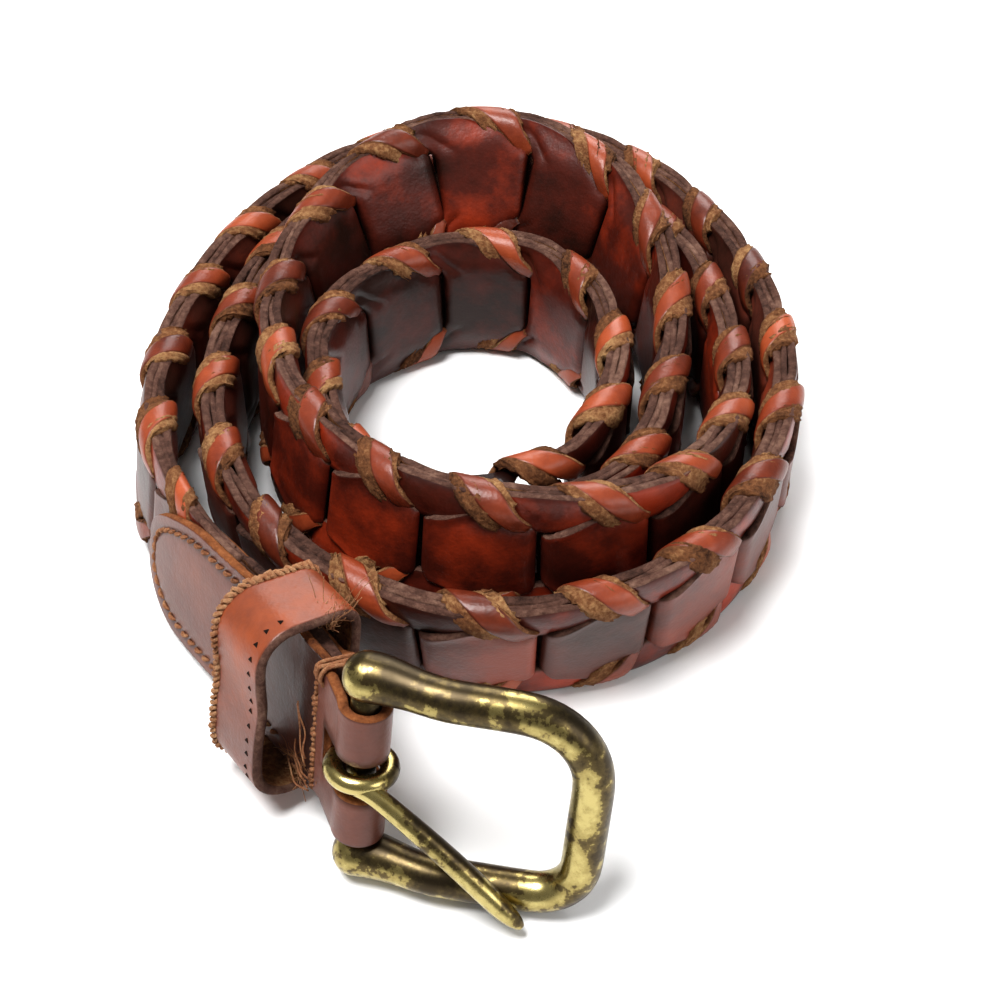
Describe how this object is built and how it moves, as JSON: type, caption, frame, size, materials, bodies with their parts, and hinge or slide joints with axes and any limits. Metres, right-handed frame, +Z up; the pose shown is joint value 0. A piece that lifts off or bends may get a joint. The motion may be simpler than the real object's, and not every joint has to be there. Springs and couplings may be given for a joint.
{
  "type": "braided leather link belt",
  "caption": "Coiled belt braided from folded leather links, resting on its edge, with a sewn end, a keeper loop and a hinged brass frame buckle with a prong.",
  "frame": {"origin": "under the middle of the belt's plan, on the surface that the coiled belt lies on", "axes": "+Z up, -Y towards the side of the coil that the buckle is on, +X along the buckle's arms from its bar"},
  "size_m": [0.1344, 0.1968, 0.0458],
  "materials": {
    "braid_leather": "polished, worn",
    "end_leather": "satin, worn",
    "keeper_leather": "satin, worn",
    "buckle_brass": "tarnished"
  },
  "bodies": {
    "belt": {"braid_outer_turns": "braid_leather", "braid_inner_turns": "braid_leather", "belt_tip": "end_leather", "sewn_end": "end_leather", "keeper_loop": "keeper_leather"},
    "frame": {"buckle_frame": "buckle_brass"},
    "prong": {"buckle_prong": "buckle_brass"}
  },
  "joints": [
    {"name": "frame_hinge", "type": "hinge", "parent": "belt", "child": "frame", "pos_m": [-0.01594, -0.07924, 0.02315], "axis": [-0.0909, -0.2477, -0.9646], "range_deg": [0, 80]},
    {"name": "prong_hinge", "type": "hinge", "parent": "frame", "child": "prong", "pos_m": [-0.01594, -0.07924, 0.02315], "axis": [-0.0909, -0.2477, -0.9646], "range_deg": [0, 45]}
  ]
}
